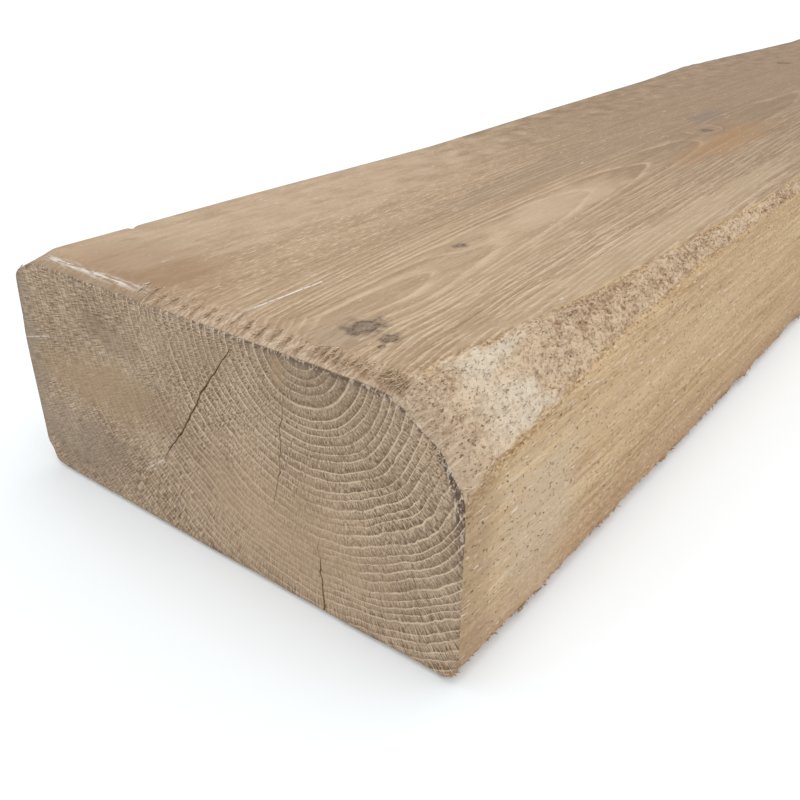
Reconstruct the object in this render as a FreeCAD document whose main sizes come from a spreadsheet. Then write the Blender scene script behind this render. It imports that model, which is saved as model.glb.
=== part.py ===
import FreeCAD, Part
import os
import Sketcher

# A short length of reclaimed oak beam, sawn on four sides from a round log.
# One solid. X runs along the grain, Y across the wide faces, Z up.
# The show side faces -Y and the back faces +Y. All sizes are in millimetres.

SIZES = [
    # overall section and length
    ("beam_length", 1200.0, "length of the stock"),
    ("beam_width", 220.0, "across the wide top and bottom faces"),
    ("beam_height", 100.0, "underside to top face"),
    # worn lower edges and the leaning upper part of the back
    ("show_foot_in", 5.0, "lower show edge, worn in along Y"),
    ("show_foot_up", 7.0, "lower show edge, worn up along Z"),
    ("back_foot_in", 5.0, "lower back edge, worn in along Y"),
    ("back_foot_up", 11.0, "lower back edge, worn up along Z"),
    ("back_flat_top", 58.0, "height where the back stops being square"),
    ("back_lean", 2.5, "how far the back leans in by the top face"),
    # shape of the missing bark-side corners: 0.5 would be a flat bevel, less is a rounder log
    ("wane_bulge", 0.44, "middle of the cut, as a share of its own size from the corner"),
    # how far each check runs into the log, and how much of its mouth is left there
    ("check_depth", 60.0, "depth of an end check along the grain"),
    ("check_root_share", 0.35, "width at the bottom of a check over width at its mouth"),
    ("cut_spare", 3.0, "how far cutting shapes reach outside the stock"),
]

# Bark-side corner along the upper show edge: distance from the -X end,
# then how far the corner is missing along Y and along Z.
SHOW_WANE = [
    (0.0, 27.0, 28.0),
    (45.0, 22.0, 21.0),
    (105.0, 17.5, 14.0),
    (180.0, 14.0, 8.5),
    (260.0, 7.0, 6.5),
    (1200.0, 6.0, 6.0),
]

# The same for the upper back edge, where the log's outline wanders in and out.
BACK_WANE = [
    (0.0, 13.0, 11.0),
    (105.0, 14.5, 12.0),
    (260.0, 18.5, 14.0),
    (585.0, 11.0, 9.0),
    (700.0, 3.0, 4.0),
    (990.0, 18.5, 14.0),
    (1200.0, 12.0, 10.0),
]

# Drying checks: name, which end, width at the mouth, then the points of its line. Each point is
# a distance in from the back, and a depth below the top face or, for the checks that split the
# underside open, a height above the underside, where the last point lies just outside it.
CHECKS = [
    ("main_check", "minus_end", 1.4, [(129.8, 5.5), (110.7, 29.3), (95.7, 51.0), (83.2, 67.6)]),
    ("hair_check", "minus_end", 0.7, [(149.8, 16.0), (146.5, 44.0), (142.3, 66.0)]),
    ("foot_check", "minus_end", 1.8, [(163.0, 34.0), (163.2, 16.0), (164.0, -3.0)]),
    ("far_main_check", "plus_end", 1.3, [(139.0, 12.0), (122.0, 36.0), (104.0, 60.0)]),
    ("far_foot_check", "plus_end", 1.5, [(171.0, 30.0), (170.0, 15.0), (172.0, -3.0)]),
]


def fill_sheet(doc):
    """Write every driving size into one sheet, a row each, and name the value cells."""
    sheet = doc.addObject("Spreadsheet::Sheet", "Sizes")
    rows = list(SIZES)
    for wane_name, stations in (("show_wane", SHOW_WANE), ("back_wane", BACK_WANE)):
        for number, (along, inward, down) in enumerate(stations):
            if number == len(stations) - 1:
                along = "=beam_length"
            rows.append((f"{wane_name}_along_{number}", along, "distance from the -X end"))
            rows.append((f"{wane_name}_in_{number}", inward, "missing along Y"))
            rows.append((f"{wane_name}_down_{number}", down, "missing along Z"))
    for check_name, end, width, points in CHECKS:
        rows.append((f"{check_name}_width", width, "width at the mouth"))
        for number, (across, level) in enumerate(points):
            rows.append((f"{check_name}_across_{number}", across, "distance in from the back"))
            rows.append((f"{check_name}_level_{number}", level, "distance from the face it starts at"))
    for row, (alias, value, note) in enumerate(rows, start=1):
        sheet.set(f"A{row}", note)
        sheet.set(f"B{row}", str(value))
        sheet.setAlias(f"B{row}", alias)
    doc.recompute()
    return sheet


def cross_sketch(body, name, along, corners):
    """Closed outline square to the grain, each corner held by two driven distances.

    along and the corners' Y and Z are expressions on the sheet; along is an X position.
    """
    sketch = body.newObject("Sketcher::SketchObject", name)
    plane = [item for item in body.Origin.OriginFeatures if item.Role == "YZ_Plane"][0]
    sketch.AttachmentSupport = [(plane, "")]
    sketch.MapMode = "FlatFace"
    sketch.setExpression("AttachmentOffset.Base.z", along)
    count = len(corners)
    # The expressions are evaluated on the sheet once, to give every line a true start.
    start = [tuple(float(body.evalExpression(part)) for part in corner) for corner in corners]
    for index in range(count):
        first = FreeCAD.Vector(start[index][0], start[index][1], 0)
        second = FreeCAD.Vector(start[(index + 1) % count][0], start[(index + 1) % count][1], 0)
        sketch.addGeometry(Part.LineSegment(first, second), False)
    for index in range(count):
        sketch.addConstraint(Sketcher.Constraint("Coincident", index, 2, (index + 1) % count, 1))
    for index, corner in enumerate(corners):
        for kind, value, expression in zip(("DistanceX", "DistanceY"), start[index], corner):
            number = sketch.addConstraint(Sketcher.Constraint(kind, -1, 1, index, 1, value))
            label = f"{'y' if kind == 'DistanceX' else 'z'}_{index}"
            sketch.renameConstraint(number, label)
            sketch.setExpression(f"Constraints.{label}", expression)
    return sketch


def cut_loft(body, name, sketches):
    """Cut the straight-sided shape that joins the sketches in order."""
    loft = body.newObject("PartDesign::SubtractiveLoft", name)
    loft.Profile = sketches[0]
    loft.Sections = sketches[1:]
    loft.Ruled = True
    for sketch in sketches:
        sketch.Visibility = False
    return loft


def stock_outline(body):
    """The sawn section: flat top, square show side, worn feet, back leaning in above its flat."""
    corners = [
        ("-Sizes.beam_width / 2 + Sizes.show_foot_in", "0"),
        ("Sizes.beam_width / 2 - Sizes.back_foot_in", "0"),
        ("Sizes.beam_width / 2", "Sizes.back_foot_up"),
        ("Sizes.beam_width / 2", "Sizes.back_flat_top"),
        ("Sizes.beam_width / 2 - Sizes.back_lean", "Sizes.beam_height"),
        ("-Sizes.beam_width / 2", "Sizes.beam_height"),
        ("-Sizes.beam_width / 2", "Sizes.show_foot_up"),
    ]
    return cross_sketch(body, "stock_section", "0", corners)


def wane_cut(body, name, side, stations):
    """Take the missing bark-side corner off one upper edge, its size changing along the beam."""
    sketches = []
    last = len(stations) - 1
    for number in range(len(stations)):
        missing_in = f"Sizes.{name}_in_{number}"
        missing_down = f"Sizes.{name}_down_{number}"
        overrun = {0: "- Sizes.cut_spare", last: "+ Sizes.cut_spare"}.get(number, "")
        along = f"Sizes.{name}_along_{number} - Sizes.beam_length / 2 {overrun}"
        edge = f"{side} * Sizes.beam_width / 2"
        top = "Sizes.beam_height"
        outside = f"{edge} + {side} * Sizes.cut_spare"
        above = f"{top} + Sizes.cut_spare"
        # The cut face bulges a little, as the log's round surface does.
        corners = [
            (outside, above),
            (f"{edge} - {side} * {missing_in}", above),
            (f"{edge} - {side} * {missing_in}", top),
            (f"{edge} - {side} * Sizes.wane_bulge * {missing_in}", f"{top} - Sizes.wane_bulge * {missing_down}"),
            (edge, f"{top} - {missing_down}"),
            (outside, f"{top} - {missing_down}"),
        ]
        sketches.append(cross_sketch(body, f"{name}_at_{number}", along, corners))
    return cut_loft(body, name, sketches)


def check_corners(name, points, share):
    """Outline of a check: down one side of its line and back up the other, closing to a tip."""
    half = f"Sizes.{name}_width / 2 * {share}"
    opens_below = points[-1][1] < 0
    level_from = "" if opens_below else "Sizes.beam_height - "
    line = []
    for number in range(len(points)):
        across = f"Sizes.beam_width / 2 - Sizes.{name}_across_{number}"
        line.append((across, f"{level_from}Sizes.{name}_level_{number}"))
    # A check that reaches the underside is widest there; the others are widest at mid length.
    wide = line[1:] if opens_below else line[1:-1]
    down_side = [(f"{across} - {half}", height) for across, height in wide]
    up_side = [(f"{across} + {half}", height) for across, height in reversed(wide)]
    tip = [] if opens_below else [line[-1]]
    return [line[0]] + down_side + tip + up_side


def check_cut(body, name, end, points):
    """A wedge-shaped split running in from one end of the beam, narrower as it goes."""
    inward = {"minus_end": 1, "plus_end": -1}[end]
    face = f"{-inward} * Sizes.beam_length / 2"
    mouth = cross_sketch(body, f"{name}_mouth", f"{face} - {inward} * Sizes.cut_spare",
                         check_corners(name, points, "1"))
    root = cross_sketch(body, f"{name}_root", f"{face} + {inward} * Sizes.check_depth",
                        check_corners(name, points, "Sizes.check_root_share"))
    return cut_loft(body, name, [mouth, root])


os.makedirs("parts", exist_ok=True)
doc = FreeCAD.newDocument("reclaimed_oak_beam")
fill_sheet(doc)

# The beam itself: one length of stock, then everything nature and wear took off it.
oak_beam = doc.addObject("PartDesign::Body", "oak_beam")
oak_beam.Label = "oak_beam"
oak_beam.Placement = FreeCAD.Placement(FreeCAD.Vector(0, 0, 0), FreeCAD.Rotation())
section = stock_outline(oak_beam)
stock = oak_beam.newObject("PartDesign::Pad", "stock")
stock.Profile = section
stock.SideType = "Symmetric"
stock.setExpression("Length", "Sizes.beam_length")
section.Visibility = False
doc.recompute()

left = [stock.Shape.Volume]
cuts = [wane_cut(oak_beam, "show_wane", -1, SHOW_WANE), wane_cut(oak_beam, "back_wane", 1, BACK_WANE)]
for check_name, check_end, check_width, check_points in CHECKS:
    cuts.append(check_cut(oak_beam, check_name, check_end, check_points))
doc.recompute()

# Every cut has to take wood away, and every object has to be sound.
for cut in cuts:
    left.append(cut.Shape.Volume)
    if not left[-1] < left[-2] - 1.0:
        raise RuntimeError(f"{cut.Label} takes nothing away")
for item in doc.Objects:
    if "Invalid" in item.State or "Error" in item.State:
        raise RuntimeError(f"{item.Label} did not build: {item.State}")
for body in (oak_beam,):
    if body.Shape.isNull() or not body.Shape.isValid() or len(body.Shape.Solids) != 1:
        raise RuntimeError(f"{body.Label} is not one sound solid")
    body.Shape.exportStep(f"parts/{body.Label}.step")
box = oak_beam.Shape.optimalBoundingBox()
print(f"oak_beam {box.XLength:.1f} x {box.YLength:.1f} x {box.ZLength:.1f} mm,",
      f"{oak_beam.Shape.Volume / 1e9:.5f} m3")
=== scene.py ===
import itertools
import math

import bpy
import numpy as np
from mathutils import Matrix, Vector


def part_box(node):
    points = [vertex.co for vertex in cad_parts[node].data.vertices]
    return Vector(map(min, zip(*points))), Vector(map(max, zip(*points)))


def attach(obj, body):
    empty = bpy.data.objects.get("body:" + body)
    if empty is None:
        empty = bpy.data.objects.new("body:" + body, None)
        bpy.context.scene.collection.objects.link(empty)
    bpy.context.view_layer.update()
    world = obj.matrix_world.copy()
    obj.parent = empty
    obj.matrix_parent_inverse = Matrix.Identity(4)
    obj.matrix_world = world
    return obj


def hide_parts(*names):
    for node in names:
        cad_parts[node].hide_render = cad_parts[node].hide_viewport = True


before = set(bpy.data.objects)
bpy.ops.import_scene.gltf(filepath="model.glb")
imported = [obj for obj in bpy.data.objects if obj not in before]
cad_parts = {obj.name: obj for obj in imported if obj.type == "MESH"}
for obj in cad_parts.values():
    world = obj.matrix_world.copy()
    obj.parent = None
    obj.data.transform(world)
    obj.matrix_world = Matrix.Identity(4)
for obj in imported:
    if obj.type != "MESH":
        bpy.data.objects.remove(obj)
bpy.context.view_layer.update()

# ---------------------------------------------------------------------------
# The beam: one length of old oak, sawn flat on four sides and cross-cut at both ends.
# Bark-side wood is left along its upper show edge, its arrises are worn and torn, and
# its ends have dried into checks. Sizes here are in millimetres.
# ---------------------------------------------------------------------------
MM = 0.001
beam_low, beam_high = (np.array(corner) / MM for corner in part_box("oak_beam"))
LENGTH, WIDTH, HEIGHT = beam_high - beam_low


def rule_marks(start, *stretches):
    """Marks along one edge: each stretch is cut into equal steps no longer than the one asked for."""
    marks = [np.array([float(start)])]
    for end, step in stretches:
        count = math.ceil(round((end - marks[-1][-1]) / step, 6))
        marks.append(np.linspace(marks[-1][-1], end, count + 1)[1:])
    return np.concatenate(marks)


def block_skin(counts):
    """Quads on the six sides of a block of lattice points, turned to face outwards.

    The points are numbered row by row; only those on the outside are used.
    """
    numbers = np.arange(np.prod(counts)).reshape(counts)
    quads = []
    for axis, end in itertools.product(range(3), (0, -1)):
        side = np.take(numbers, end, axis=axis)
        corners = np.stack((side[:-1, :-1], side[1:, :-1], side[1:, 1:], side[:-1, 1:]), -1).reshape(-1, 4)
        quads.append(corners[:, ::-1] if (axis == 1) == (end == -1) else corners)
    return quads


def smooth_noise(place, cell, seed):
    """Random heights from -1 to 1 on a lattice of the given cell size, eased between its points."""
    spot = place / np.array(cell, float)
    base = np.floor(spot)
    part = spot - base
    part = part * part * (3 - 2 * part)
    base = base.astype(np.int64)
    total = np.zeros(len(place))
    for corner in itertools.product((0, 1), repeat=3):
        where = (base + corner).astype(np.uint64)
        mixed = (where * np.array([374761393, 668265263, 2147483647], np.uint64)).sum(-1)
        mixed = (mixed + np.uint64(seed * 1274126177)) & np.uint64(0xFFFFFFFF)
        mixed = ((mixed ^ (mixed >> np.uint64(13))) * np.uint64(1274126177)) & np.uint64(0xFFFFFFFF)
        mixed = mixed ^ (mixed >> np.uint64(16))
        share = np.prod(np.where(corner, part, 1 - part), axis=1)
        total += share * (mixed.astype(float) / 2 ** 31 - 1)
    return total


def facing(place, quads):
    """Outward unit vectors: each quad's crossed diagonals, added up at its four corners."""
    corners = [place[quads[:, number]] for number in range(4)]
    across = np.cross(corners[2] - corners[0], corners[3] - corners[1])
    total = np.zeros_like(place)
    for number in range(4):
        np.add.at(total, quads[:, number], across)
    return total / np.maximum(np.linalg.norm(total, axis=1, keepdims=True), 1e-9)


# Bark-side corner of the upper show edge: from the -X end, missing along Y, missing along Z.
SHOW_WANE = np.array([
    (0, 27, 28), (45, 22, 21), (105, 17.5, 14), (180, 14, 8.5), (260, 7, 6.5), (LENGTH, 6, 6),
])
# The upper back edge wanders in and out with the log's outline.
BACK_WANE = np.array([
    (0, 13, 11), (105, 14.5, 12), (260, 18.5, 14), (585, 11, 9), (700, 3, 4), (990, 18.5, 14),
    (LENGTH, 12, 10),
])
WANE_BULGE = 0.44
# How far inside the missing corner the felted wood ends: stations from the -X end, shares.
FELT_EDGE = ((0, 60, 120, 220, LENGTH), (0.0, 0.06, 0.26, 0.32, 0.32))
SHOW_FOOT = np.array([(0, 5, 7), (LENGTH, 5, 7)])
BACK_FOOT = np.array([(0, 5, 11), (LENGTH, 5, 11)])
FOOT_BULGE = 0.5
# The back leans in above its flat part, and takes the wood behind this line along with it.
BACK_FLAT_TOP, BACK_LEAN, LEAN_FROM = 58.0, 2.5, 150.0
# Worn upper and lower edges of the two cross-cut ends, and how far in and down they go.
END_WEAR = {("minus", "top"): (11.0, 3.2), ("minus", "under"): (2.5, 1.5),
            ("plus", "top"): (5.0, 2.0), ("plus", "under"): (2.5, 1.5)}

# Lattice lines through the wood, closest together where it is torn or worn. The sizes are
# rounded here to whole millimetres, so that the lines fall where they are asked for.
along = rule_marks(0, (2, 0.7), (300, 1.5), (600, 3.5), (round(LENGTH) - 2, 9.2), (round(LENGTH), 1))
across = rule_marks(0, (3, 0.8), (34, 1.3), (60, 3), (204, 6), (round(WIDTH), 2.2))
upward = rule_marks(0, (8, 1.3), (68, 4), (98.5, 1.3), (round(HEIGHT), 0.75))
block_sides = block_skin((len(along), len(across), len(upward)))
used, quads = np.unique(np.concatenate(block_sides), return_inverse=True)
quads = quads.reshape(-1, 4)
grid = np.stack(np.meshgrid(along, across, upward, indexing="ij"), -1).reshape(-1, 3)[used]


def corner_wear(first, second, first_size, second_size, bulge=0.5, softness=0.14):
    """Moves of two distances from an arris, so that its square corner becomes a worn one.

    Both distances grow by a share of the wear that falls off in a straight line, eased where
    it meets the flat faces.
    """
    def remaining(distance, size):
        """One at the arris, falling in an eased straight line to nothing at the given size."""
        left = 1 - distance / size
        return np.where(left > -1.2, 0.5 * (left + np.sqrt(left ** 2 + softness ** 2)), 0)

    left = remaining(first, first_size) * remaining(second, second_size)
    return bulge * first_size * left, bulge * second_size * left, left


x, y, z = grid.T
from_show, from_back, from_top = y, WIDTH - y, HEIGHT - z
place = grid.copy()
bark_side = np.zeros(len(grid))
for stations, side_distance, level_distance, inward, upright, bulge in (
    (SHOW_WANE, from_show, from_top, 1, -1, WANE_BULGE),
    (BACK_WANE, from_back, from_top, -1, -1, WANE_BULGE),
    (SHOW_FOOT, from_show, z, 1, 1, FOOT_BULGE),
    (BACK_FOOT, from_back, z, -1, 1, FOOT_BULGE),
):
    missing_in = np.interp(x, stations[:, 0], stations[:, 1])
    missing_up = np.interp(x, stations[:, 0], stations[:, 2])
    move_in, move_up, left = corner_wear(side_distance, level_distance, missing_in, missing_up, bulge)
    place[:, 1] += inward * move_in
    place[:, 2] += upright * move_up
    if stations is SHOW_WANE:
        bark_side = np.clip((left - np.interp(x, *FELT_EDGE)) * 3, 0, 1)
for (end, level), (reach, drop) in END_WEAR.items():
    end_distance = x if end == "minus" else LENGTH - x
    level_distance = from_top if level == "top" else z
    move_along, move_up, left = corner_wear(end_distance, level_distance, reach, drop)
    place[:, 0] += move_along if end == "minus" else -move_along
    place[:, 2] += move_up if level == "under" else -move_up
back_share = np.clip((from_show - LEAN_FROM) / (WIDTH - LEAN_FROM), 0, 1)
place[:, 1] -= BACK_LEAN * back_share * np.clip((z - BACK_FLAT_TOP) / (HEIGHT - BACK_FLAT_TOP), 0, 1)

# Wear and relief, pushed along the surface's own direction, and how far they reach.
ARRIS_REACH, BRUISED_REACH, CRUMBLED_REACH, RIM_REACH = 9.0, 12.0, 4.0, 7.0
CHIP_PLACE, CHIP_HALF_WIDTH, CHIP_DEPTH = 48.0, 1.7, 2.8
out = facing(place, quads)
end_share = np.clip((np.abs(out[:, 0]) - 0.5) * 4, 0, 1)
near_side = np.clip(1 - np.minimum(from_show, from_back) / ARRIS_REACH, 0, 1)
near_level = np.clip(1 - np.minimum(z, from_top) / ARRIS_REACH, 0, 1)
arris = near_side * near_level
relief = 0.5 * smooth_noise(place, (260, 60, 60), 1)
relief += (1 - end_share) * 0.22 * smooth_noise(place, (70, 5, 5), 2)
relief += end_share * 0.15 * smooth_noise(place, (9, 9, 9), 3)
# Torn bark-side wood is lumpy, except in the first few millimetres where the saw crossed it.
torn = np.clip(bark_side * 2, 0, 1) * np.clip((x + 4) / 22, 0.3, 1)
crumbling = 0.65 * smooth_noise(place, (3.6, 3, 3), 5)
crumbling -= 0.8 * np.clip(smooth_noise(place, (2.7, 2.4, 2.4), 8), 0, 1)
relief += torn * (0.75 * smooth_noise(place, (15, 8, 8), 4) + crumbling)
# The long arrises are chipped and bruised, the lower one of the show side most of all.
low_show_arris = (from_show < BRUISED_REACH) & (z < BRUISED_REACH)
bruised = arris * np.where(low_show_arris, np.interp(x, (0, 120, 260), (1.2, 2.2, 2.8)), 1.0)
relief -= bruised * np.clip(smooth_noise(place, (7, 20, 20), 6), 0, 1)
relief += bruised * 0.8 * smooth_noise(place, (3.2, 5, 5), 7)
# A chip is out of the upper back edge near the -X end.
chip = np.exp(-((x - CHIP_PLACE) / CHIP_HALF_WIDTH) ** 2)
relief -= CHIP_DEPTH * chip * np.clip(1 - from_back / 22, 0, 1) * np.clip(1 - from_top / 14, 0, 1)
# The upright arris between the -X end and the show side has crumbled a little.
crumbled = np.clip(1 - x / CRUMBLED_REACH, 0, 1) * np.clip(1 - from_show / CRUMBLED_REACH, 0, 1)
relief += crumbled * 0.9 * smooth_noise(place, (3, 3, 3.4), 9)
place = place + out * relief[:, None]
place += (beam_low[0], beam_low[1], 0)
place[:, 2] = np.maximum(place[:, 2], 0.0)


def new_piece(name, points, faces):
    """A mesh object at the origin from points in millimetres and faces by point number."""
    mesh = bpy.data.meshes.new(name)
    mesh.from_pydata((points * MM).tolist(), [], faces)
    mesh.update()
    piece = bpy.data.objects.new(name, mesh)
    bpy.context.scene.collection.objects.link(piece)
    return piece


beam = new_piece("oak_beam_surface", place, quads.tolist())
# The material reads how much bark side a point has, how near it is to a long arris, and how deep it lies
# between the crumbs of the bark side, which it paints as shade.
side_rim = 0.9 + 0.3 * np.clip((z - 30) / 30, 0, 1) * (from_show < 40)
upright_rim = side_rim - np.minimum.reduce([from_show, from_back, z]) / RIM_REACH
near_arris = np.clip(np.maximum(1.35 - from_top / RIM_REACH, upright_rim), 0, 1)
# Painted shade: the deeper a point lies between the bark side's crumbs, the darker the material paints it.
hollow_shade = np.clip(0.5 - torn * crumbling * 0.5, 0, 1)
for layer_name, values in (("bark_side", bark_side), ("near_arris", near_arris), ("hollow_shade", hollow_shade)):
    layer = beam.data.attributes.new(layer_name, "FLOAT", "POINT")
    layer.data.foreach_set("value", values.astype(np.float32))

# Drying checks: which end (-1 or 1), width at the mouth, depth, then the line's points as
# distance in from the back and height.
CHECKS = [
    (-1, 1.15, 52, [(129.8, 95.5), (110.7, 70.7), (95.7, 49.0), (83.2, 32.4)]),
    (-1, 0.45, 35, [(149.8, 84.0), (146.5, 56.0), (142.3, 34.0)]),
    (-1, 1.3, 55, [(163.0, 36.0), (163.2, 16.0), (164.0, -2.5)]),
    (1, 1.3, 45, [(139.0, 88.0), (122.0, 64.0), (104.0, 40.0)]),
    (1, 1.5, 50, [(171.0, 30.0), (170.0, 15.0), (172.0, -2.5)]),
]


def check_wedge(end, width, depth, line, seed, steps=48, overshoot=3.0):
    """A closed wedge that follows a check's line, wandering a little from side to side.

    Two rows of points stand at its mouth, which overshoots the end, half a width to each side,
    and one at its bottom. The width eases to nothing at the line's ends, except where it leaves
    the underside.
    """
    line = np.array(line)
    share = np.linspace(0, 1, steps)
    reach = np.linspace(0, 1, len(line))
    side = WIDTH / 2 - np.interp(share, reach, line[:, 0])
    level = np.interp(share, reach, line[:, 1])
    seeds = np.stack((share * 0, side, level), 1)
    side = side + 0.6 * smooth_noise(seeds, (9, 9, 7), seed)
    side = side + 0.5 * smooth_noise(seeds, (9, 2.5, 2.0), seed + 50)
    opens_below = line[-1, 1] < 0
    if opens_below:
        swell = np.clip(share, 0.001, 1) ** 0.8
    else:
        swell = np.sqrt(np.sin(np.pi * np.clip(share, 0.001, 0.999)))
    swell = swell * (1 + 0.3 * smooth_noise(seeds, (9, 4, 4), seed + 70))
    half = np.maximum(width / 2 * swell, 0.04)
    face = end * LENGTH / 2
    mouth_x = np.full(steps, face + end * overshoot)
    bottom_x = face - end * depth * np.maximum(swell, 0.15)
    points = np.concatenate([
        np.stack((mouth_x, side - half, level), 1),
        np.stack((mouth_x, side + half, level), 1),
        np.stack((bottom_x, side, level), 1),
    ])
    here = np.arange(steps - 1)
    low_row, high_row, deep_row = here, here + steps, here + 2 * steps
    strips = [(low_row, high_row), (high_row, deep_row), (deep_row, low_row)]
    faces = []
    for first, second in strips:
        faces += np.stack((first, second, second + 1, first + 1), 1).tolist()
    faces += [[0, 2 * steps, steps], [steps - 1, 2 * steps - 1, 3 * steps - 1]]
    if end * (level[-1] - level[0]) < 0:
        faces = [face_points[::-1] for face_points in faces]
    return points, faces


wedge_points, wedge_faces = [], []
for number, (end, width, depth, line) in enumerate(CHECKS):
    points, faces = check_wedge(end, width, depth, line, 100 + number)
    start = sum(len(part) for part in wedge_points)
    wedge_points.append(points)
    wedge_faces += [[start + point for point in face_points] for face_points in faces]
cutter = new_piece("check_cutter", np.concatenate(wedge_points), wedge_faces)
splitting = beam.modifiers.new("checks", "BOOLEAN")
splitting.operation = "DIFFERENCE"
splitting.solver = "EXACT"
splitting.object = cutter
split_mesh = bpy.data.meshes.new_from_object(beam.evaluated_get(bpy.context.evaluated_depsgraph_get()))
beam.modifiers.clear()
whole_mesh, beam.data = beam.data, split_mesh
cutter_mesh = cutter.data
bpy.data.objects.remove(cutter)
bpy.data.meshes.remove(whole_mesh)
bpy.data.meshes.remove(cutter_mesh)
split_mesh.name = "oak_beam_surface"
split_mesh.shade_smooth()
split_mesh.set_sharp_from_angle(angle=math.radians(48))


class Bench:
    """Adds nodes to one node tree. Every call hands back the output it made."""

    def __init__(self, tree):
        self.tree = tree

    def node(self, kind, **settings):
        """A new node of a kind, with its settings; hands back the node itself."""
        made = self.tree.nodes.new(kind)
        for setting, value in settings.items():
            setattr(made, setting, value)
        return made

    def feed(self, socket, value):
        """Puts a number, a colour or another node's output into a socket."""
        if isinstance(value, bpy.types.NodeSocket):
            self.tree.links.new(value, socket)
        elif value is not None:
            socket.default_value = value

    def maths(self, operation, *values, clamp=False):
        """One operation on numbers."""
        made = self.node("ShaderNodeMath", operation=operation, use_clamp=clamp)
        for socket, value in zip(made.inputs, values):
            self.feed(socket, value)
        return made.outputs[0]

    def times(self, *values):
        """All the values multiplied together."""
        running = values[0]
        for value in values[1:]:
            running = self.maths("MULTIPLY", running, value)
        return running

    def vector(self, operation, *values):
        """One operation on vectors, which gives a vector, a length or a product."""
        made = self.node("ShaderNodeVectorMath", operation=operation)
        for socket, value in zip(made.inputs, values):
            self.feed(socket, value)
        return made.outputs["Value" if operation in ("LENGTH", "DISTANCE", "DOT_PRODUCT") else "Vector"]

    def parts(self, vector):
        """A vector's X, Y and Z."""
        made = self.node("ShaderNodeSeparateXYZ")
        self.feed(made.inputs[0], vector)
        return made.outputs[:3]

    def join(self, *values):
        """A vector from its X, Y and Z."""
        made = self.node("ShaderNodeCombineXYZ")
        for socket, value in zip(made.inputs, values):
            self.feed(socket, value)
        return made.outputs[0]

    def ramp(self, value, low, high, to_low=0.0, to_high=1.0):
        """Eases value from low..high to to_low..to_high, flat outside."""
        made = self.node("ShaderNodeMapRange", interpolation_type="SMOOTHSTEP")
        for socket, number in zip(made.inputs, (value, low, high, to_low, to_high)):
            self.feed(socket, number)
        return made.outputs[0]

    def noise(self, where, cell, detail=2.0, roughness=0.5):
        """Noise from about 0 to 1, its features the cell's size along X, Y and Z in millimetres."""
        made = self.node("ShaderNodeTexNoise")
        self.feed(made.inputs["Vector"], self.vector("DIVIDE", where, cell))
        made.inputs["Scale"].default_value = 1.0
        made.inputs["Detail"].default_value = detail
        made.inputs["Roughness"].default_value = roughness
        return made.outputs["Fac"]

    def mix(self, share, first, second):
        """The colour a share of the way from the first to the second."""
        made = self.node("ShaderNodeMix", data_type="RGBA")
        self.feed(made.inputs["Factor"], share)
        self.feed(made.inputs[6], first)
        self.feed(made.inputs[7], second)
        return made.outputs[2]

    def between(self, share, first, second):
        """The number a share of the way from the first to the second."""
        return self.maths("MULTIPLY_ADD", share, self.maths("SUBTRACT", second, first), first)

    def total(self, *pairs):
        """The sum of each pair's value times its weight."""
        running = None
        for value, weight in pairs:
            scaled = self.maths("MULTIPLY", value, weight)
            running = scaled if running is None else self.maths("ADD", running, scaled)
        return running

    def here(self):
        """The place being shaded, in the piece's own millimetres."""
        place = self.node("ShaderNodeTexCoord").outputs["Object"]
        return self.vector("MULTIPLY", place, (1 / MM, 1 / MM, 1 / MM))

    def carried(self, name):
        """A value that the mesh carries at each of its points."""
        return self.node("ShaderNodeAttribute", attribute_name=name).outputs["Fac"]

    def group(self, tree, **values):
        """A shader node group fed by its inputs' names, with _ for each space; hands back its outputs."""
        made = self.node("ShaderNodeGroup", node_tree=tree)
        for name, value in values.items():
            self.feed(made.inputs[name.replace("_", " ")], value)
        return made.outputs


def new_group(name, takes, gives):
    """An empty shader node group with named sockets; hands back its bench, inputs and outputs."""
    tree = bpy.data.node_groups.new(name, "ShaderNodeTree")
    for label, kind, start in takes:
        socket = tree.interface.new_socket(label, in_out="INPUT", socket_type=kind)
        if start is not None:
            socket.default_value = start
    for label, kind in gives:
        tree.interface.new_socket(label, in_out="OUTPUT", socket_type=kind)
    bench = Bench(tree)
    return tree, bench, bench.node("NodeGroupInput").outputs, bench.node("NodeGroupOutput").inputs


def shade(red, green, blue):
    """A colour as the eye sees it, 0 to 255 each, turned into the light values a shader mixes."""
    return tuple(((part / 255 + 0.055) / 1.055) ** 2.4 for part in (red, green, blue)) + (1.0,)


FLOAT, VECTOR, COLOUR = "NodeSocketFloat", "NodeSocketVector", "NodeSocketColor"

# Knots: place from the beam's middle, size across, and how widely and how far they push the rings.
KNOTS = [
    ((-573.5, -51.5, 100), 7.5, 7.0, 3.5),
    ((-575, -64, 100), 4.0, 6.0, 4.0),
    ((-582, -66, 100), 1.8, 2.0, 0.0),
    ((-487, -30, 100), 3.0, 5.0, 2.2),
    ((-195, -23, 100), 5.0, 7.0, 6.0),
    ((180, 38, 100), 8.0, 8.0, 6.0),
]

# Growth rings: distance from a pith that runs just above the top face, bent aside by knots and
# by the uneven growth of the log. Along the beam the pith drifts to the back and climbs away
# from the top, most of all in the first stretch from the -X end.
PITH_ACROSS, PITH_DRIFT, PITH_DRIFT_RUN = -48.0, 22.0, 160.0
PITH_ABOVE, PITH_CLIMB, PITH_CLIMB_RUN = 2.0, 26.0, 450.0
rings, bench, given, result = new_group(
    "growth_rings",
    [("Place", VECTOR, None), ("Normal", VECTOR, None), ("Spacing", FLOAT, 3.1)],
    [("Radius", FLOAT), ("Ring", FLOAT), ("Since Spring", FLOAT), ("Ray", FLOAT)],
)
where = given["Place"]
px, py, pz = bench.parts(where)
from_end = bench.maths("ADD", px, LENGTH / 2)
drift, climb = (
    bench.maths("SUBTRACT", 1.0, bench.maths("EXPONENT", bench.maths("DIVIDE", from_end, -run)))
    for run in (PITH_DRIFT_RUN, PITH_CLIMB_RUN))
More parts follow.
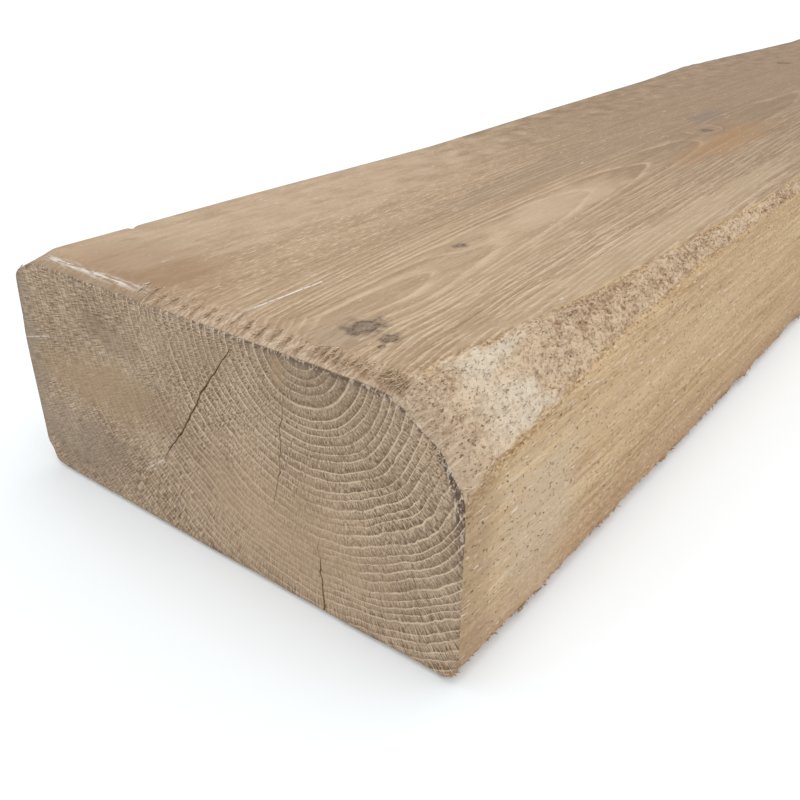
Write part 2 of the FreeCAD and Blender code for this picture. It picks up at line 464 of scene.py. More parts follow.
off_side = bench.maths("SUBTRACT", py, bench.maths("MULTIPLY_ADD", drift, PITH_DRIFT, PITH_ACROSS))
# Away from the end the rings lie flatter just under the top, and run out there in blunt arches.
flatter = bench.ramp(bench.maths("ABSOLUTE", off_side), 8, 30, 0.55, 1.0)
flatter = bench.maths("MAXIMUM", flatter, bench.ramp(from_end, 4, 45, 1.0, 0.0))
off_side = bench.times(off_side, flatter)
off_top = bench.maths(
    "SUBTRACT", pz, bench.maths("MULTIPLY_ADD", climb, PITH_CLIMB, HEIGHT + PITH_ABOVE))
outward = bench.join(0.0, off_side, off_top)
radius = bench.vector("LENGTH", outward)
# A ring met at a slant is stretched on the surface; lines are kept as thin as elsewhere.
facing_out = bench.vector("DOT_PRODUCT", bench.vector("NORMALIZE", outward), given["Normal"])
slant = bench.maths("SQRT", bench.maths(
    "MAXIMUM", 0.03, bench.maths("SUBTRACT", 1.0, bench.times(facing_out, facing_out))))
wander = bench.maths("SUBTRACT", bench.noise(where, (320, 55, 55), 1.0), 0.5)
ripple = bench.maths("SUBTRACT", bench.noise(where, (70, 12, 12), 1.0), 0.5)
flutter = bench.maths("SUBTRACT", bench.noise(where, (40, 3.5, 3.5), 1.0), 0.5)
far = bench.ramp(radius, 5.0, 70.0, 0.15, 1.0)
bends = bench.total((wander, 9.0), (ripple, 2.6), (flutter, 1.2))
radius = bench.maths("MULTIPLY_ADD", far, bends, radius)
for middle, size, spread, push in KNOTS:
    apart = bench.vector("MULTIPLY", bench.vector("SUBTRACT", where, middle), (0.45, 1.0, 0.35))
    near = bench.maths("DIVIDE", bench.vector("LENGTH", apart), spread)
    swell = bench.maths("EXPONENT", bench.times(bench.times(near, near), -0.5))
    radius = bench.maths("MULTIPLY_ADD", swell, push, radius)
good_years = bench.noise(bench.join(bench.maths("DIVIDE", radius, 11.0), 0.0, 0.0), (1, 1, 1), 1.0)
years = bench.maths("MULTIPLY_ADD", good_years, 2.2, bench.maths("DIVIDE", radius, given["Spacing"]))
bench.feed(result["Radius"], radius)
bench.feed(result["Ring"], bench.maths("FRACT", years))
since_spring = bench.times(bench.maths("FRACT", years), given["Spacing"])
bench.feed(result["Since Spring"], bench.maths("DIVIDE", since_spring, slant))
bench.feed(result["Ray"], bench.maths("ARCTAN2", off_side, bench.times(off_top, -1.0)))

# Chalky scratch: a line between two points, as wide as asked and broken along its run.
scratch, bench, given, result = new_group(
    "chalky_scratch",
    [("Place", VECTOR, None), ("Start", VECTOR, None), ("End", VECTOR, None), ("Width", FLOAT, 1.0)],
    [("Mask", FLOAT)],
)
run = bench.vector("SUBTRACT", given["End"], given["Start"])
reach = bench.vector("SUBTRACT", given["Place"], given["Start"])
share = bench.maths(
    "DIVIDE", bench.vector("DOT_PRODUCT", reach, run), bench.vector("DOT_PRODUCT", run, run), clamp=True)
nearest = bench.node("ShaderNodeVectorMath", operation="SCALE")
bench.feed(nearest.inputs[0], run)
bench.feed(nearest.inputs["Scale"], share)
apart = bench.vector("DISTANCE", reach, nearest.outputs["Vector"])
breaks = bench.ramp(bench.noise(given["Place"], (2.2, 2.2, 2.2), 2.0, 0.7), 0.30, 0.48)
line_mask = bench.ramp(bench.maths("DIVIDE", apart, given["Width"]), 0.25, 1.0, 1.0, 0.0)
bench.feed(result["Mask"], bench.times(line_mask, breaks))

# Weather mark: a soft-edged patch of another colour round a place on the surface.
weather_mark, bench, given, result = new_group(
    "weather_mark",
    [("Colour", COLOUR, None), ("Place", VECTOR, None), ("Unevenness", FLOAT, 0.5), ("Middle", VECTOR, None),
     ("Half Size", VECTOR, None), ("Mark Colour", COLOUR, None), ("Strength", FLOAT, 0.5)],
    [("Colour", COLOUR)],
)
apart = bench.vector("DIVIDE", bench.vector("SUBTRACT", given["Place"], given["Middle"]), given["Half Size"])
ragged = bench.maths("MULTIPLY_ADD", given["Unevenness"], 1.6, bench.vector("LENGTH", apart))
mark = bench.times(bench.ramp(ragged, 1.2, 2.1, 1.0, 0.0), given["Strength"])
bench.feed(result["Colour"], bench.mix(mark, given["Colour"], given["Mark Colour"]))

# Knot: a grey-brown smudge with a dark ring round a paler heart.
knot, bench, given, result = new_group(
    "knot",
    [("Colour", COLOUR, None), ("Place", VECTOR, None), ("Unevenness", FLOAT, 0.5), ("Middle", VECTOR, None),
     ("Size", FLOAT, 6.0)],
    [("Colour", COLOUR)],
)
apart = bench.vector("MULTIPLY", bench.vector("SUBTRACT", given["Place"], given["Middle"]), (0.8, 1.0, 0.3))
near = bench.maths("DIVIDE", bench.vector("LENGTH", apart), given["Size"])
near = bench.maths("ADD", near, bench.maths("MULTIPLY_ADD", given["Unevenness"], 1.6, -0.8))
specks = bench.noise(given["Place"], (1.8, 1.2, 1.2), 2.0, 0.8)
smudge = bench.times(
    bench.ramp(near, 0.55, 1.15, 1.0, 0.0), bench.ramp(specks, 0.34, 0.66, 0.95, 0.50))
smudged = bench.mix(smudge, given["Colour"], shade(122, 107, 92))
ring = bench.times(
    bench.ramp(near, 0.25, 0.5), bench.ramp(near, 0.5, 0.8, 1.0, 0.0),
    bench.ramp(specks, 0.58, 0.42, 0.1, 0.7))
bench.feed(result["Colour"], bench.mix(ring, smudged, shade(88, 72, 60)))

# Weather marks: middle, half size, colour, strength. First those of the -X end.
END_MARKS = [
    # golden band and the grey round it
    ((-600, 84, 20), (30, 34, 18), (147, 132, 116), 0.50),
    ((-600, 110, 50), (30, 11, 60), (156, 142, 126), 0.55),
    ((-600, 50, 78), (30, 22, 9), (148, 128, 107), 0.45),
    ((-600, 60, 53), (30, 44, 14), (174, 150, 119), 0.65),
    # warmer middle and lower part, smooth wedge of pale wood under the top edge
    ((-600, -36, 28), (30, 46, 30), (192, 167, 138), 0.52),
    ((-600, 5, 84), (30, 24, 9), (168, 146, 119), 0.35),
    ((-600, -38, 91), (30, 3.2, 5), (184, 155, 122), 0.50),
]
LONG_MARKS = [
    # grey tail of the first knot, rubbed brown behind the near end, paler margin at the back
    ((-585, -50, 100), (17, 9, 20), (170, 153, 133), 0.40),
    ((-582, 50, 100), (27, 42, 25), (159, 128, 98), 0.85),
    ((-480, 74, 100), (160, 44, 25), (202, 179, 152), 0.48),
    # pale wood round the first two knots and along the bark side
    ((-485, -42, 100), (95, 24, 20), (198, 175, 144), 0.30),
    ((-400, -88, 100), (190, 9, 20), (200, 177, 147), 0.50),
    # a grey run down the middle, ending in a blue-grey stain
    ((-330, 4, 100), (150, 15, 20), (152, 132, 112), 0.32),
    ((-400, -32, 100), (62, 13, 20), (210, 187, 158), 0.50),
    ((-145, -5, 100), (36, 8, 20), (134, 122, 114), 0.50),
    # warm swirl beyond the third knot and the brown far half
    ((-215, -44, 100), (75, 15, 20), (176, 136, 94), 0.55),
    ((190, 20, 100), (330, 90, 25), (152, 129, 106), 0.30),
    # show side: golden middle, pale and dull near end, darker far half
    ((-430, -110, 60), (170, 14, 18), (214, 186, 148), 0.45),
    ((-556, -110, 40), (34, 14, 34), (212, 194, 170), 0.50),
    ((60, -110, 50), (380, 14, 60), (184, 155, 121), 0.50),
    ((-597, -110, 45), (14, 14, 70), (164, 138, 112), 0.50),
]
# Chalky scratches: start, end, width, strength.
SCRATCHES = [
    ((-584, -13, 100), (-552, -14, 100), 0.75, 0.85),
    ((-596, -12, 99), (-584, -13, 100), 1.1, 0.35),
    ((-600, 26.8, 32.4), (-600, 38.5, 24), 0.6, 0.60),
    ((-600, 92, 66), (-600, 110, 61), 0.55, 0.60),
]


def new_material(name):
    """An empty material, and the bench for its nodes."""
    material = bpy.data.materials.new(name)
    material.use_nodes = True
    material.node_tree.nodes.clear()
    return material, Bench(material.node_tree)


def weathered(bench, colour, uneven, marks):
    """The colour with each mark laid over it in turn."""
    place = bench.here()
    for middle, half_size, mark_colour, strength in marks:
        colour = bench.group(
            weather_mark, Colour=colour, Place=place, Unevenness=uneven, Middle=middle, Half_Size=half_size,
            Mark_Colour=shade(*mark_colour), Strength=strength)["Colour"]
    return colour


def bare_wood(bench, colour, roughness, normal=None):
    """Ends a wood material: one dull, unfinished surface of the given colour, roughness and normal."""
    surface = bench.node("ShaderNodeBsdfPrincipled")
    bench.feed(surface.inputs["Base Color"], colour)
    bench.feed(surface.inputs["Roughness"], roughness)
    bench.feed(surface.inputs["Specular IOR Level"], 0.25)
    bench.feed(surface.inputs["Normal"], normal)
    bench.feed(bench.node("ShaderNodeOutputMaterial").inputs["Surface"], surface.outputs["BSDF"])


oak, bench = new_material("weathered_oak")
where = bench.here()
px, py, pz = bench.parts(where)
normal = bench.node("ShaderNodeTexCoord").outputs["Normal"]
nx, ny, nz = bench.parts(normal)
end_grain = bench.ramp(bench.maths("ABSOLUTE", nx), 0.60, 0.80)
top_face = bench.ramp(nz, 0.5, 0.9)
show_face = bench.ramp(bench.times(ny, -1.0), 0.3, 0.6)
from_end = bench.maths("ADD", px, LENGTH / 2)
bark = bench.carried("bark_side")
rim = bench.carried("near_arris")
grown = bench.group(rings, Place=where, Normal=normal)
early = bench.maths(
    "MULTIPLY", bench.ramp(grown["Since Spring"], 0.30, 0.68, 1.0, 0.0),
    bench.ramp(grown["Since Spring"], 0.0, 0.15))
late = bench.ramp(grown["Ring"], 0.35, 0.98)

# End grain: rows of open pores each spring, darker summer wood, fine rays out from the pith,
# and a rough dark rim where the saw broke out along the arrises.
pores = bench.ramp(bench.noise(where, (1.0, 0.5, 0.5), 1.0), 0.38, 0.62)
near_rays, far_rays = (
    bench.noise(
        bench.join(bench.times(grown["Ray"], rays), bench.maths("DIVIDE", grown["Radius"], length), 0.0),
        (1, 1, 1), 2.0, 0.7)
    for rays, length in ((130.0, 2.4), (300.0, 6.0)))
ray_lines = bench.between(bench.ramp(grown["Radius"], 55, 95), near_rays, far_rays)
blotch = bench.noise(where, (60, 38, 30), 2.0)
crumbs = bench.noise(where, (0.8, 0.8, 0.8), 2.0, 0.75)
clear_rings = bench.ramp(
    bench.total((py, -1.0), (bench.noise(where, (60, 40, 40), 1.0), 80.0)), -10, 70, 0.50, 1.0)
faded = bench.ramp(bench.noise(where, (11, 11, 11), 2.0), 0.38, 0.60, 0.25, 1.0)
spring_rows = bench.times(
    bench.maths("MULTIPLY_ADD", pores, 0.75, 0.25), bench.times(early, bench.times(clear_rings, faded)))
end_tone = bench.total(
    (spring_rows, 0.90), (bench.times(late, clear_rings), -0.16),
    (ray_lines, 2.1), (blotch, 0.50), (crumbs, 0.9), (1.0, -1.27),
)
rubbed_smooth = bench.ramp(bench.total((py, 1.0), (blotch, 50.0)), 40, 105, 0.0, 0.22)
end_tone = bench.between(rubbed_smooth, end_tone, 0.5)
# Partly painted light: besides the end grain's own tone, its colours are lifted for light that the lamp
# overhead gives the end face too weakly.
end_colour = bench.mix(bench.ramp(end_tone, 0.0, 1.0), shade(112, 88, 67), shade(222, 200, 172))
end_uneven = bench.noise(where, (20, 11, 11), 2.0)
end_colour = weathered(bench, end_colour, end_uneven, END_MARKS)
torn_rim = bench.times(
    bench.ramp(rim, 0.45, 0.95), bench.ramp(pz, 42, 72, 0.15, 1.0), bench.ramp(py, -60, 10, 1.0, 0.45))
rim_bits = bench.noise(where, (1.2, 1.1, 2.2), 2.0, 0.7)
comb = bench.ramp(bench.total((rim_bits, 1.0), (early, 0.12)), 0.64, 0.44, 0.0, 0.9)
end_colour = bench.mix(bench.times(torn_rim, comb), end_colour, shade(88, 74, 62))
rim_pale = bench.times(torn_rim, bench.ramp(rim_bits, 0.55, 0.62, 0.0, 0.75))
end_colour = bench.mix(rim_pale, end_colour, shade(222, 214, 206))

# Long grain: wavy light hairs and dashes of open pores over broad streaks along the grain.
streaks = bench.noise(where, (130, 4.5, 4.5), 2.0, 0.6)
sway = bench.maths("MULTIPLY_ADD", bench.noise(where, (24, 6, 6), 2.0), 3.6, -1.8)
swayed = bench.vector("ADD", where, bench.join(0.0, sway, sway))
fine_streaks = bench.noise(swayed, (18, 0.8, 0.8), 2.0, 0.65)
hairs = bench.ramp(bench.noise(swayed, (24, 0.75, 0.75), 1.0), 0.53, 0.66)
dashes = bench.ramp(bench.noise(swayed, (5, 0.7, 0.7), 1.0), 0.57, 0.69)
# The dashes gather in rows behind the first knots.
off_rows = bench.maths("ABSOLUTE", bench.maths("SUBTRACT", py, 26))
gather = bench.times(
    bench.ramp(bench.total((off_rows, 1.0), (blotch, 20.0)), 18, 50, 1.0, 0.15),
    bench.ramp(bench.total((from_end, 1.0), (blotch, 120.0)), 150, 330, 1.0, 0.4))
dashes = bench.times(dashes, bench.times(gather, bench.ramp(top_face, 0.0, 1.0, 0.3, 1.0)))
grit = bench.noise(where, (1.8, 0.8, 0.8), 2.0, 0.7)
lined = bench.ramp(bench.total(
    (py, -1.0), (bench.noise(where, (130, 26, 26), 1.0), 90.0), (bench.ramp(from_end, 20, 110), 22.0)),
    22, 85, 0.10, 1.0)
upturned = bench.ramp(nz, 0.3, 0.8, 0.15, 1.0)
lined = bench.times(lined, upturned)
hairy = bench.ramp(bench.total((py, -1.0), (bench.noise(where, (90, 22, 22), 1.0), 80.0)), 55, 125, 0.25, 1.0)
hairs = bench.times(hairs, hairy)
ring_lines = bench.times(
    bench.ramp(grown["Since Spring"], 0.6, 1.4, 1.0, 0.0), bench.ramp(grown["Since Spring"], 0.0, 0.3))
worn_away = bench.times(
    bench.ramp(bench.noise(where, (38, 9, 9), 2.0), 0.40, 0.60, 0.15, 1.0),
    bench.ramp(grown["Radius"], 10, 26, 0.45, 1.0))
spring_lines = bench.times(
    bench.ramp(grit, 0.35, 0.6, 0.4, 1.0), bench.times(ring_lines, bench.times(lined, worn_away)))
# Where the rings run out in arches over the pith their spring wood shows as soft pale bands.
arches = bench.times(
    bench.ramp(grown["Radius"], 14, 22, 1.0, 0.0),
    bench.ramp(grown["Since Spring"], 0.8, 2.8, 1.0, 0.0), bench.ramp(grown["Since Spring"], 0.0, 0.8),
    bench.ramp(from_end, 12, 45),
    bench.ramp(bench.noise(where, (26, 6, 6), 3.0, 0.7), 0.34, 0.62, 0.15, 1.0))
long_tone = bench.total(
    (spring_lines, 0.36), (bench.times(late, lined), -0.08), (streaks, 0.40),
    (fine_streaks, 0.50), (hairs, 0.30), (dashes, 0.55), (grit, 0.30),
    (bench.times(arches, top_face), 0.30), (1.0, -0.17),
)
lumpy = bench.noise(where, (17, 10, 10), 2.0)
calm = bench.times(bench.ramp(bench.total((py, 1.0), (blotch, 60.0)), 50, 100), upturned)
calm_tone = bench.total((lumpy, 1.2), (streaks, 0.4), (grit, 0.9), (fine_streaks, 0.4), (1.0, -0.97))
long_tone = bench.ramp(bench.between(bench.times(calm, 0.70), long_tone, calm_tone), 0.0, 1.0)
bands = bench.noise(where, (60, 2.8, 2.8), 3.0, 0.6)
side_tone = bench.total(
    (bands, 0.60), (streaks, 0.35), (fine_streaks, 0.26), (grit, 0.62), (hairs, 0.10), (1.0, -0.43))
side_tone = bench.ramp(side_tone, 0.0, 1.0)
near_top = bench.mix(long_tone, shade(146, 117, 87), shade(217, 193, 163))
far_top = bench.mix(long_tone, shade(133, 108, 83), shade(190, 166, 140))
far_run = bench.ramp(bench.total((from_end, 1.0), (blotch, 120.0)), 120, 560)
top_colour = bench.mix(far_run, near_top, far_top)
# Partly painted light: besides the wood's own tone, the show side's colours are set paler than the top's,
# standing in for light that the lamp overhead gives this side too weakly.
side_colour = bench.mix(side_tone, shade(153, 118, 76), shade(242, 215, 174))
low_side = bench.ramp(bench.total((pz, 1.0), (streaks, 24.0)), 26, 48, 1.0, 0.0)
low_side = bench.times(low_side, bench.ramp(grit, 0.35, 0.65, 0.75, 0.25))
side_colour = bench.mix(low_side, side_colour, shade(180, 147, 118))
foot = bench.ramp(bench.total((pz, 1.0), (grit, 8.0)), 5, 13, 0.7, 0.0)
side_colour = bench.mix(foot, side_colour, shade(172, 130, 90))
long_colour = bench.mix(show_face, top_colour, side_colour)
uneven = bench.noise(where, (30, 9, 9), 3.0, 0.65)
long_colour = weathered(bench, long_colour, uneven, LONG_MARKS)
scuffs = bench.times(bench.ramp(uneven, 0.52, 0.62), bench.ramp(py, -20, 30, 0.15, 1.0), 0.20)
long_colour = bench.mix(scuffs, long_colour, shade(156, 126, 98))
# The show side has the most pale flecks and dark pin specks.
flecks = bench.ramp(
    bench.total((bench.noise(where, (5, 0.9, 0.9), 1.0), 1.0), (show_face, 0.055)), 0.72, 0.77)
long_colour = bench.mix(bench.times(flecks, 0.75), long_colour, shade(238, 224, 206))
pins = bench.ramp(
    bench.total((bench.noise(where, (1.6, 0.9, 0.9), 1.0), 1.0), (show_face, 0.035)), 0.70, 0.76)
pins = bench.times(pins, bench.ramp(show_face, 0.0, 1.0, 0.15, 0.85))
long_colour = bench.mix(pins, long_colour, shade(120, 82, 52))

# Bark-side wood: felted torn fibres, chalky where it is rubbed, full of small dark curls,
# and streaked along the grain where the end saw ran through it.
hollow_shade = bench.carried("hollow_shade")
felt = bench.noise(where, (2.0, 1.5, 1.5), 4.0, 0.8)
# The felt is painted darker in the hollows between the crumbs and lighter on their tops: painted shade and
# painted light.
felt_tone = bench.ramp(bench.total((felt, 1.0), (hollow_shade, -0.18), (uneven, 0.35), (1.0, -0.03)), 0.33, 0.67)
felt_colour = bench.mix(felt_tone, shade(150, 116, 85), shade(230, 204, 172))
chalky = bench.times(
    bench.ramp(bench.total((from_end, 1.0), (uneven, 30.0)), 26.0, 48.0),
    bench.ramp(bench.total((from_end, 1.0), (uneven, 150.0)), 85.0, 150.0, 1.0, 0.0))
felt_colour = bench.mix(bench.times(chalky, 0.74), felt_colour, shade(252, 240, 218))
saw_run = bench.ramp(bench.total((from_end, 1.0), (uneven, 24.0)), 16, 32, 1.0, 0.0)
sawn_felt = bench.mix(long_tone, shade(176, 148, 119), shade(240, 222, 197))
felt_colour = bench.mix(bench.times(saw_run, 0.75), felt_colour, sawn_felt)
curls = bench.total((bench.noise(where, (1.5, 0.8, 0.8), 2.0, 0.6), 1.0), (uneven, -0.20), (1.0, 0.10))
curls = bench.times(bench.ramp(curls, 0.615, 0.665), bench.maths("MULTIPLY_ADD", chalky, -0.35, 1.0))
felt_colour = bench.mix(bench.times(curls, 0.80), felt_colour, shade(124, 86, 56))
bark_edge = bench.ramp(
    bench.total((bark, 1.0), (bench.noise(where, (14, 4, 4), 3.0, 0.65), 1.5), (1.0, -0.75)), 0.22, 0.50)
# A brown line runs along the foot of the felted wood.
border = bench.times(
    bench.ramp(bark, 0.01, 0.10), bench.maths("SUBTRACT", 1.0, bark_edge),
    bench.ramp(grit, 0.38, 0.60, 0.60, 0.0))
long_colour = bench.mix(border, long_colour, shade(146, 112, 78))
long_colour = bench.mix(bark_edge, long_colour, felt_colour)

lumps = bench.noise(where, (5, 5, 5), 2.0)
for middle, size, *_ in KNOTS:
    with_knot = bench.group(
        knot, Colour=long_colour, Place=where, Unevenness=lumps, Middle=middle, Size=size)
    long_colour = with_knot["Colour"]

# The upper arris of the near end is rubbed pale and its fibres are combed over it.
rubbed = bench.times(
    bench.ramp(bench.total((from_end, 1.0), (fine_streaks, 9.0)), 10, 15, 1.0, 0.0), top_face)
fibre_ends = bench.noise(swayed, (9, 0.9, 0.9), 3.0, 0.7)
rubbed_colour = bench.mix(bench.ramp(fibre_ends, 0.34, 0.66), shade(160, 133, 106), shade(228, 209, 185))
rubbed_colour = bench.mix(bench.ramp(py, -10, 50, 0.0, 0.70), rubbed_colour, shade(152, 126, 101))
long_colour = bench.mix(bench.times(rubbed, 0.75), long_colour, rubbed_colour)

colour = bench.mix(end_grain, long_colour, end_colour)
# Chalk lies in a streak just inside that arris, and in a few scratches.
chalk_run = bench.maths(
    "ABSOLUTE", bench.total((px, 1.0), (bench.noise(where, (4, 16, 11), 2.0), 4.0), (1.0, 592.4)))
chalk = bench.times(
    bench.ramp(chalk_run, 0.4, 2.6, 1.0, 0.0),
    bench.ramp(bench.noise(where, (0.9, 9, 3), 2.0, 0.7), 0.42, 0.58),
    bench.ramp(py, 22, 44), bench.ramp(py, 84, 96, 1.0, 0.0), 0.8)
for start, end, width, strength in SCRATCHES:
    mask = bench.group(scratch, Place=where, Start=start, End=end, Width=width)["Mask"]
    chalk = bench.maths("MAXIMUM", chalk, bench.times(mask, strength))
colour = bench.mix(chalk, colour, shade(238, 231, 222))

long_height = bench.total((fine_streaks, 0.4), (hairs, 0.10), (grit, 0.35), (flecks, 0.15), (pins, -0.4))
felt_height = bench.total((felt, 1.5), (curls, -0.7))
end_height = bench.total((ray_lines, 0.3), (crumbs, 0.5), (bench.times(rim_bits, torn_rim), 1.8))
height = bench.between(end_grain, bench.between(bark_edge, long_height, felt_height), end_height)
bumps = bench.node("ShaderNodeBump")
bumps.inputs["Strength"].default_value = 0.8
bumps.inputs["Distance"].default_value = 0.001
bench.feed(bumps.inputs["Height"], height)
bare_wood(bench, colour, bench.total((felt, 0.12), (1.0, 0.76)), bumps.outputs["Normal"])

beam.data.materials.clear()
beam.data.materials.append(oak)
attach(beam, "root")
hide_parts("oak_beam")

# ---------------------------------------------------------------------------
# Torn fibres: thin splinters and curls of the same oak, still rooted in the beam, where
# the bark side is felted and where the saw and years of handling broke the arrises out.
# ---------------------------------------------------------------------------
dice = np.random.default_rng(41)
final_out = facing(place, quads)
from_near = place[:, 0] - beam_low[0]
low_arris = (from_show < 7) & (z < 7)
felt_band = bark_side > 0.35
near_brow = (x < 9) & (from_top < 1) & (from_show > 24) & (from_back > 75)
end_edge = (x < 0.8) & (near_arris > 0.9) & (z > 60)
back_brow = (from_back < 6) & (from_top < 6)
STRAND_RINGS, STRAND_SIDES = 5, 3
ROOT_DEPTH, ROOT_SCATTER = 0.15, 0.35
FIBRE_BEDS = [
    # where, count, length from and to, thickness, how far they stand up, scatter, reach from the -X end
    (felt_band, 1800, 1.0, 2.6, 0.17, 0.40, 0.9, 330),
    (low_arris, 2000, 0.7, 2.0, 0.42, 0.30, 0.8, 900),
    (low_arris, 14, 1.5, 3.0, 0.30, 0.3, 0.6, 900),
    (near_brow, 900, 2.0, 6.0, 0.17, 0.12, 0.25, 900),
    (end_edge, 90, 0.8, 1.8, 0.16, 0.4, 0.8, 900),
    (back_brow, 200, 1.2, 3.0, 0.16, 0.3, 0.5, 900),
]


def strands(root, lay, curl, length, thickness, rings=STRAND_RINGS, sides=STRAND_SIDES):
    """Tapered strands with a few flat sides, one to each root.

    A strand's middle line leaves its root along its lay and bends by its curl as the square of
    the way along; its thickness falls off to a point.
    """
    share = np.linspace(0, 1, rings)[None, :, None]
    middle = root[:, None] + length[:, None, None] * (lay[:, None] * share + curl[:, None] * share ** 2)
    across = np.cross(lay, curl + 1e-3)
    across /= np.maximum(np.linalg.norm(across, axis=1, keepdims=True), 1e-6)
    upright = np.cross(lay, across)
    turn = np.arange(sides) * 2 * np.pi / sides
    round_it = across[:, None] * np.cos(turn)[None, :, None] + upright[:, None] * np.sin(turn)[None, :, None]
    thick = thickness[:, None] * (1 - np.linspace(0, 0.93, rings)[None, :]) ** 0.7
    points = middle[:, :, None] + thick[:, :, None, None] * round_it[:, None]
    number = np.arange(len(root) * rings * sides).reshape(len(root), rings, sides)
    ahead_of = np.roll(number, -1, axis=2)
    walls = np.stack((number[:, :-1], ahead_of[:, :-1], ahead_of[:, 1:], number[:, 1:]), -1).reshape(-1, 4)
    ends = np.concatenate((number[:, 0, ::-1], number[:, -1]))
    return points.reshape(-1, 3), walls.tolist() + ends.tolist()


roots, lays, curls_by, lengths, thicknesses = [], [], [], [], []
for bed, count, shortest, longest, thickness, stand, scatter, bed_reach in FIBRE_BEDS:
    spots = np.flatnonzero(bed)
    weight = np.exp(-from_near[spots] / bed_reach)
    weight *= np.interp(from_near[spots], (0, 300, 600, 1200), (1.5, 1.5, 3.5, 9))
    spots = dice.choice(spots, count, p=weight / weight.sum())
    lie = np.where(dice.random(count) < 0.6, -1.0, 1.0)[:, None] * np.array([1.0, 0, 0])
    if bed is near_brow:
        lie = np.repeat([[-1.0, 0, 0]], count, 0)
    lie = lie + final_out[spots] * stand * dice.random((count, 1))
    lie = lie + scatter * dice.normal(size=(count, 3)) * 0.45
    lie /= np.linalg.norm(lie, axis=1, keepdims=True)
    roots.append(place[spots] - final_out[spots] * ROOT_DEPTH + dice.normal(size=(count, 3)) * ROOT_SCATTER)
    lays.append(lie)
    curls_by.append(dice.normal(size=(count, 3)) * 0.35 + (0, 0, -0.1))
    lengths.append(shortest + (longest - shortest) * dice.random(count) ** 2)
    thicknesses.append(thickness * (0.6 + 0.8 * dice.random(count)))
grown_in = (np.concatenate(part) for part in (roots, lays, curls_by, lengths, thicknesses))
strand_points, strand_faces = strands(*grown_in)
strand_points[:, 2] = np.maximum(strand_points[:, 2], 0.05)
fibres = new_piece("torn_fibres", strand_points, strand_faces)
fibres.data.shade_smooth()
strand_tint = np.repeat(dice.random(sum(len(part) for part in roots)), STRAND_RINGS * STRAND_SIDES)
layer = fibres.data.attributes.new("strand_tint", "FLOAT", "POINT")
layer.data.foreach_set("value", strand_tint.astype(np.float32))

# Strands are browner near the floor, and chalked where the chalk streak crosses them.
frayed, bench = new_material("frayed_oak")
px, py, pz = bench.parts(bench.here())
strand_colour = bench.mix(bench.carried("strand_tint"), shade(184, 153, 120), shade(236, 216, 188))
low_down = bench.ramp(pz, 6, 16, 0.6, 0.0)
strand_colour = bench.mix(low_down, strand_colour, shade(178, 136, 96))
chalked = bench.times(
    bench.ramp(py, 22, 44), bench.ramp(py, 84, 96, 1.0, 0.0), bench.ramp(pz, 90, 94),
    bench.ramp(px, 12 - LENGTH / 2, 8 - LENGTH / 2), 0.6)
strand_colour = bench.mix(chalked, strand_colour, shade(236, 228, 216))
bare_wood(bench, strand_colour, 0.8)
fibres.data.materials.append(frayed)
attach(fibres, "root")

# ---------------------------------------------------------------------------
# The stand: a white floor that keeps the beam's soft shadow, an even white room,
# and one broad lamp high on the show side. None of it belongs to the beam.
# ---------------------------------------------------------------------------
FLOOR_REACH, FLOOR_DROP = 20000.0, 0.3
corners = np.array([(-1, -1, 0), (1, -1, 0), (1, 1, 0), (-1, 1, 0)]) * FLOOR_REACH - (0, 0, FLOOR_DROP)
floor = new_piece("floor", corners, [(0, 1, 2, 3)])
paper, bench = new_material("white_floor")
seen = bench.node("ShaderNodeLightPath").outputs["Is Camera Ray"]
matt = bench.node("ShaderNodeBsdfDiffuse")
# Seen straight on it is a little bluer, against the warm light thrown back by the oak.
bench.feed(matt.inputs["Color"], bench.mix(seen, (0.88, 0.88, 0.88, 1), (0.95, 0.98, 1, 1)))
glow = bench.node("ShaderNodeEmission")
glow.inputs["Color"].default_value = (0.95, 1.15, 1.3, 1.0)
way_off = bench.vector("LENGTH", bench.node("ShaderNodeTexCoord").outputs["Object"])
bench.feed(glow.inputs["Strength"], bench.times(seen, bench.ramp(way_off, 0.9, 2.4, 0.10, 0.40)))
both = bench.node("ShaderNodeAddShader")
bench.feed(both.inputs[0], matt.outputs[0])
bench.feed(both.inputs[1], glow.outputs[0])
bench.feed(bench.node("ShaderNodeOutputMaterial").inputs["Surface"], both.outputs[0])
floor.data.materials.append(paper)

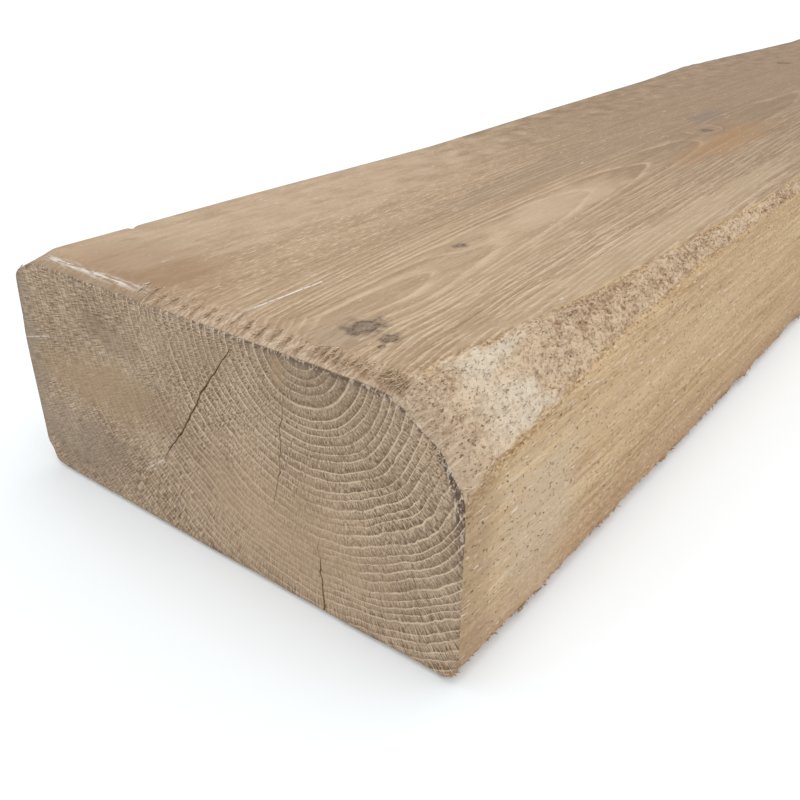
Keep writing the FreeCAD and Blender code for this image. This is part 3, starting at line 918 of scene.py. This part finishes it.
room = bpy.data.worlds.new("room")
bpy.context.scene.world = room
room.use_nodes = True
room.node_tree.nodes.clear()
bench = Bench(room.node_tree)
seen = bench.node("ShaderNodeLightPath").outputs["Is Camera Ray"]
sky = bench.node("ShaderNodeBackground")
sky.inputs["Color"].default_value = (1, 1, 1, 1)
bench.feed(sky.inputs["Strength"], bench.ramp(seen, 0.0, 1.0, 0.84, 1.0))
bench.feed(bench.node("ShaderNodeOutputWorld").inputs["Surface"], sky.outputs[0])

lamp_data = bpy.data.lights.new("broad_lamp", "AREA")
lamp_data.shape = "SQUARE"
lamp_data.size = 1.6
lamp_data.energy = 14
lamp = bpy.data.objects.new("broad_lamp", lamp_data)
lamp.location = (-0.5, -0.45, 2.4)
lamp.rotation_euler = (Vector((-0.3, 0, 0.05)) - Vector(lamp.location)).to_track_quat("-Z", "Y").to_euler()
bpy.context.scene.collection.objects.link(lamp)

# The camera stands near the -X end on the show side, looking down along the beam.
HEADING, PITCH, ROLL, LENS = math.radians(37.29), math.radians(28.25), math.radians(0.40), 39.18
STAND = Vector((-0.7725, -0.9811, 0.9580))  # from the foot of the -X end, in beam widths
ahead = Vector((math.cos(HEADING) * math.cos(PITCH), math.sin(HEADING) * math.cos(PITCH), -math.sin(PITCH)))
right = ahead.cross(Vector((0, 0, 1))).normalized()
above = right.cross(ahead)
turned_right = math.cos(ROLL) * right + math.sin(ROLL) * above
turned_above = math.cos(ROLL) * above - math.sin(ROLL) * right
camera_data = bpy.data.cameras.new("camera")
camera_data.lens = LENS
camera_data.sensor_width = 36
camera_data.clip_start = 0.01
camera = bpy.data.objects.new("camera", camera_data)
spot = Vector((beam_low[0], (beam_low[1] + beam_high[1]) / 2, beam_low[2])) * MM + STAND * WIDTH * MM
turn = Matrix((turned_right, turned_above, -ahead)).transposed()
camera.matrix_world = Matrix.Translation(spot) @ turn.to_4x4()
bpy.context.scene.collection.objects.link(camera)
bpy.context.scene.camera = camera
bpy.context.scene.view_settings.view_transform = "Standard"
